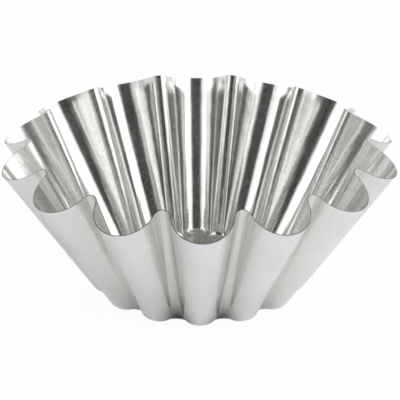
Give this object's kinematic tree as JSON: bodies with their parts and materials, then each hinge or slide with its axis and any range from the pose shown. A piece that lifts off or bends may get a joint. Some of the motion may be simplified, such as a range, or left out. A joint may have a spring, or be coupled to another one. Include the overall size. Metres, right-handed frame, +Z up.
{
  "type": "brioche mould",
  "caption": "Large tinplate brioche mould with deep round flutes and a small flat scalloped foot.",
  "frame": {"origin": "centre of the underside of the flat foot, on the surface that the mould stands on", "axes": "+Z up, out of the open top; -Y to the front, through the middle of one lobe; +X to the right"},
  "size_m": [0.2154, 0.22, 0.086],
  "materials": {
    "tinplate": "bright tinned steel sheet, mirror-like inside and satin outside"
  },
  "bodies": {
    "root": {"fluted_wall": "tinplate", "base": "tinplate"}
  },
  "joints": []
}
